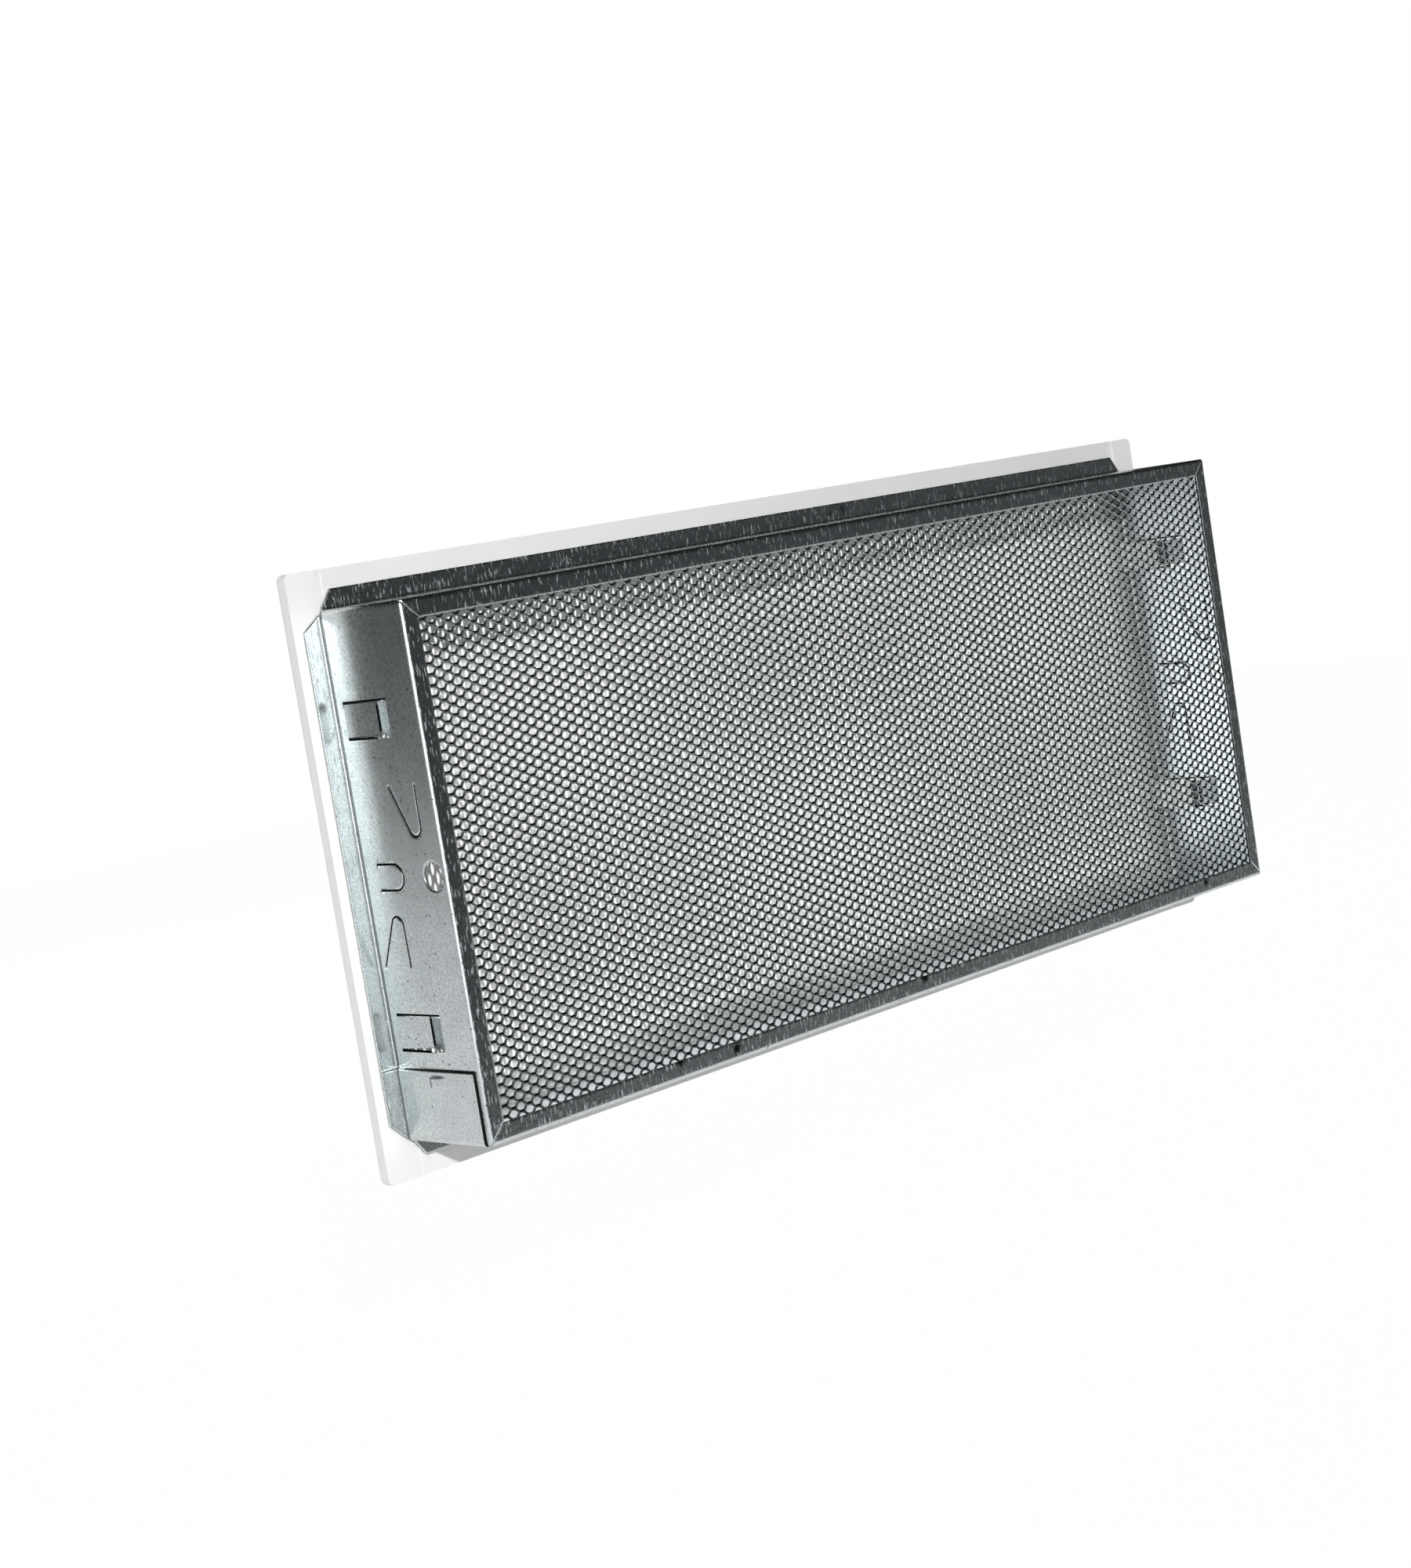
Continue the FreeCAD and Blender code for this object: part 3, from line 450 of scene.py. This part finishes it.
def galvanised_strands():
    """Expanded galvanised steel: duller than the sheet from stretching, with painted shade where its
    strands face upwards, which draws a thin dark line under each opening."""
    material, tree = new_material("galvanised_strands")
    place = add(tree, "ShaderNodeTexCoord").outputs["Object"]
    normal = add(tree, "ShaderNodeNewGeometry").outputs["Normal"]
    cloud = add(tree, "ShaderNodeTexNoise", {
        "Vector": place, "Scale": 1 / (2 * MM), "Detail": 2.0})
    cloudy = add(tree, "ShaderNodeMapRange", {"Value": cloud, "From Min": 0.35, "From Max": 0.65})
    upwards = add(tree, "ShaderNodeSeparateXYZ", {"Vector": normal}).outputs["Z"]
    # Painted shade: the strand faces that look upwards are darkened.
    upward_shade = add(tree, "ShaderNodeMapRange", {"Value": upwards, "From Min": 0.45, "From Max": 0.65})
    zinc = colour("#9ea7a8")
    for share, code in ((cloudy, "#b2babb"), (upward_shade, "#3a3f40"),
                        (ragged_spots(tree, place, SPOT_WELDS), "#1c1d1c")):
        zinc = add(tree, "ShaderNodeMix", {SHARE: share, COLOUR_A: zinc, COLOUR_B: colour(code)},
                   data_type="RGBA").outputs[MIXED_COLOUR]
    shader = add(tree, "ShaderNodeBsdfPrincipled", {
        "Base Color": zinc, "Metallic": 1.0, "Roughness": 0.34})
    add(tree, "ShaderNodeOutputMaterial", {"Surface": shader})
    return material


def white_powder_coat():
    """White polyester powder coat: satin, with the faint orange peel of a baked coating."""
    material, tree = new_material("white_powder_coat")
    place = add(tree, "ShaderNodeTexCoord").outputs["Object"]
    peel = add(tree, "ShaderNodeTexNoise", {"Vector": place, "Scale": 1 / (1.2 * MM), "Detail": 2.0})
    cloud = add(tree, "ShaderNodeTexNoise", {"Vector": place, "Scale": 1 / (30 * MM), "Detail": 2.0})
    white = add(tree, "ShaderNodeMix", {
        SHARE: cloud, COLOUR_A: colour("#e6e6e4"), COLOUR_B: colour("#eeeeec")},
        data_type="RGBA").outputs[MIXED_COLOUR]
    bump = add(tree, "ShaderNodeBump", {"Height": peel, "Distance": 0.02 * MM, "Strength": 0.4})
    shader = add(tree, "ShaderNodeBsdfPrincipled", {
        "Base Color": white, "Roughness": 0.42, "Normal": bump})
    add(tree, "ShaderNodeOutputMaterial", {"Surface": shader})
    return material


def painted_slit_shade():
    """Painted shade: a black, matt stand-in for the unlit metal between the two edges of a lanced cut,
    which reads as a black line.
    """
    material, tree = new_material("painted_slit_shade")
    # So little of the room reaches into a slit that its metal mirrors nothing.
    shader = add(tree, "ShaderNodeBsdfPrincipled", {"Base Color": colour("#0a0b0b"), "Roughness": 0.9,
                                               "Specular IOR Level": 0.0})
    add(tree, "ShaderNodeOutputMaterial", {"Surface": shader})
    return material


sheet_material = galvanised_sheet()
strand_material = galvanised_strands()
white_material = white_powder_coat()

for name, node in nodes.items():
    finish = sheet_material if name == "mounting_sleeve" else white_material
    node.data.materials.clear()
    node.data.materials.append(finish)

slit_shade_strips(painted_slit_shade())

mesh_tree = expanded_metal_tree()
expanded_mesh(mesh_tree, "back_expanded_mesh", "back_mesh", "sleeve",
              strand_material, BACK_STRAND, False)
expanded_mesh(mesh_tree, "front_expanded_mesh", "front_mesh", "front_panel",
              white_material, FRONT_STRAND, True)


# Camera: behind the grille, to the right of it and a little above its middle

camera = bpy.data.objects.new("camera", bpy.data.cameras.new("camera"))
bpy.context.scene.collection.objects.link(camera)
camera.data.lens = 64.2
camera.data.clip_start = 0.05
camera.location = (0.62377, 0.61749, 0.08534)
camera.rotation_euler = [math.radians(angle) for angle in (84.28, 9.089, 136.014)]
bpy.context.scene.camera = camera


# Studio: a pale floor, one hard lamp, and cards that only the metal sees, as in a photographer's tent

FLOOR_DROP = 0.2
FLOOR_EDGE = 0.3
FLOOR_WHITE = 0.985
ROOM_RADIUS = 1.85
ROOM_SIDES = 48
# Height and radius of the corners of the room's outline, from its floor to its roof
ROOM_OUTLINE = [(-0.5, 0.4), (-0.45, ROOM_RADIUS), (0.9, ROOM_RADIUS), (1.3, 1.0), (1.5, 0.4)]


def background_rays(tree):
    """One where a ray comes from the camera, or from a reflection or glass that shows the background."""
    path = add(tree, "ShaderNodeLightPath").outputs
    shown = add(tree, "ShaderNodeMath", {0: path["Is Camera Ray"], 1: path["Is Glossy Ray"]},
                operation="MAXIMUM")
    return add(tree, "ShaderNodeMath", {0: shown, 1: path["Is Transmission Ray"]}, operation="MAXIMUM")


def studio_piece(name, points, faces, material):
    """A piece of the stage, which isn't part of the grille."""
    mesh = bpy.data.meshes.new(name)
    mesh.from_pydata(points, [], faces)
    mesh.materials.append(material)
    piece = bpy.data.objects.new(name, mesh)
    bpy.context.scene.collection.objects.link(piece)
    return piece


def pale_floor():
    """The floor far under the grille: white to the camera, and matt for the light that it sends back."""
    material, tree = new_material("pale_floor")
    shown = background_rays(tree)
    share = add(tree, "ShaderNodeMath", {0: shown, 1: FLOOR_WHITE}, operation="MULTIPLY")
    matt = add(tree, "ShaderNodeBsdfDiffuse", {"Color": colour("#f0f0f0")})
    white = add(tree, "ShaderNodeEmission", {"Color": (1, 1, 1, 1), "Strength": 1.0})
    mixed = add(tree, "ShaderNodeMixShader", {0: share, 1: matt, 2: white})
    add(tree, "ShaderNodeOutputMaterial", {"Surface": mixed})
    wide = ROOM_RADIUS + 0.2
    corners = [(-wide, -wide), (wide, -wide), (wide, FLOOR_EDGE), (-wide, FLOOR_EDGE)]
    studio_piece("pale_floor", [(x, y, -FLOOR_DROP) for x, y in corners], [(0, 1, 2, 3)], material)


def reflection_card(name, points, faces, material):
    """A card that lights nothing: it is there for the sheet metal to mirror."""
    card = studio_piece(name, points, faces, material)
    card.visible_camera = False
    card.visible_diffuse = False
    card.visible_shadow = False
    card.visible_transmission = False


def dark_room():
    """The dark studio, grey at eye level, nearly black overhead, and darker far behind the grille."""
    material, tree = new_material("dark_room")
    place = add(tree, "ShaderNodeTexCoord").outputs["Object"]
    place = add(tree, "ShaderNodeSeparateXYZ", {"Vector": place}).outputs
    level = add(tree, "ShaderNodeMapRange", {
        "Value": place["Z"], "From Min": 0.1, "From Max": 1.0, "To Min": 0.085, "To Max": 0.015})
    share = add(tree, "ShaderNodeMapRange", {
        "Value": place["Y"], "From Min": 1.25, "From Max": 1.6, "To Min": 1.0, "To Max": 0.45})
    level = add(tree, "ShaderNodeMath", {0: level, 1: share}, operation="MULTIPLY")
    wall = add(tree, "ShaderNodeEmission", {"Color": colour("#f4fdff"), "Strength": level})
    add(tree, "ShaderNodeOutputMaterial", {"Surface": wall})
    angles = [2 * math.pi * side / ROOM_SIDES for side in range(ROOM_SIDES)]
    points = [(radius * math.cos(angle), radius * math.sin(angle), height)
              for height, radius in ROOM_OUTLINE for angle in angles]
    rings = [list(range(start, start + ROOM_SIDES)) for start in range(0, len(points), ROOM_SIDES)]
    faces = []
    for lower, upper in zip(rings, rings[1:]):
        for side in range(ROOM_SIDES):
            after = (side + 1) % ROOM_SIDES
            faces.append((lower[side], lower[after], upper[after], upper[side]))
    faces += [rings[0], rings[-1]]
    reflection_card("dark_room", points, faces, material)


def upright_card(name, centre, across, width, height, strength):
    """A glowing card that stands upright, with its width along the given direction."""
    material, tree = new_material(name)
    glow = add(tree, "ShaderNodeEmission", {"Color": (1, 1, 1, 1), "Strength": strength})
    add(tree, "ShaderNodeOutputMaterial", {"Surface": glow})
    centre = Vector(centre)
    along = Vector(across).normalized() * width / 2
    up = Vector((0, 0, height / 2))
    points = [centre - along - up, centre + along - up, centre + along + up, centre - along + up]
    reflection_card(name, points, [(0, 1, 2, 3)], material)


def lamp(name, direction, distance, size, power):
    """A round lamp that shines on the grille from the given direction."""
    light = bpy.data.lights.new(name, "AREA")
    light.shape = "DISK"
    light.size = size
    light.energy = power
    lit = bpy.data.objects.new(name, light)
    bpy.context.scene.collection.objects.link(lit)
    direction = Vector(direction).normalized()
    lit.location = direction * distance
    lit.rotation_euler = direction.to_track_quat("Z", "Y").to_euler()
    return lit


def studio():
    """The floor, the room, the cards, the two lamps and the white background."""
    pale_floor()
    dark_room()
    # By the camera: it whitens the bends and, by way of the wall beside it, the flange.
    upright_card("window_card", centre=(0.93, 0.86, 0.125), across=(-0.86, 0.93, 0),
                 width=1.0, height=0.75, strength=2.6)
    # Close in front of the panel: what the inside of the sleeve mirrors through the front mesh.
    upright_card("side_card", centre=(-0.115, -0.05, 0.0), across=(1, 0, 0),
                 width=0.11, height=0.17, strength=2.4)
    upright_card("low_card", centre=(0.0, -0.05, -0.03), across=(1, 0, 0),
                 width=0.36, height=0.11, strength=5.0)

    # A small hard key from behind the grille, and a wide soft lamp on the room side for the panel's face
    lamp("key", direction=(0.75, 0.95, 0.33), distance=1.38, size=0.045, power=13.2)
    face_lamp = lamp("face_lamp", direction=(-0.35, -1.0, 0.55), distance=1.5, size=1.2, power=9.5)
    face_lamp.visible_glossy = False

    world = bpy.data.worlds.new("white_background")
    bpy.context.scene.world = world
    world.use_nodes = True
    tree = world.node_tree
    tree.nodes.clear()
    shown = background_rays(tree)
    strength = add(tree, "ShaderNodeMapRange", {"Value": shown, "To Min": 0.4, "To Max": 1.0})
    sky = add(tree, "ShaderNodeBackground", {"Color": (1, 1, 1, 1), "Strength": strength})
    add(tree, "ShaderNodeOutputWorld", {"Surface": sky})


studio()
bpy.context.scene.view_settings.view_transform = "Standard"
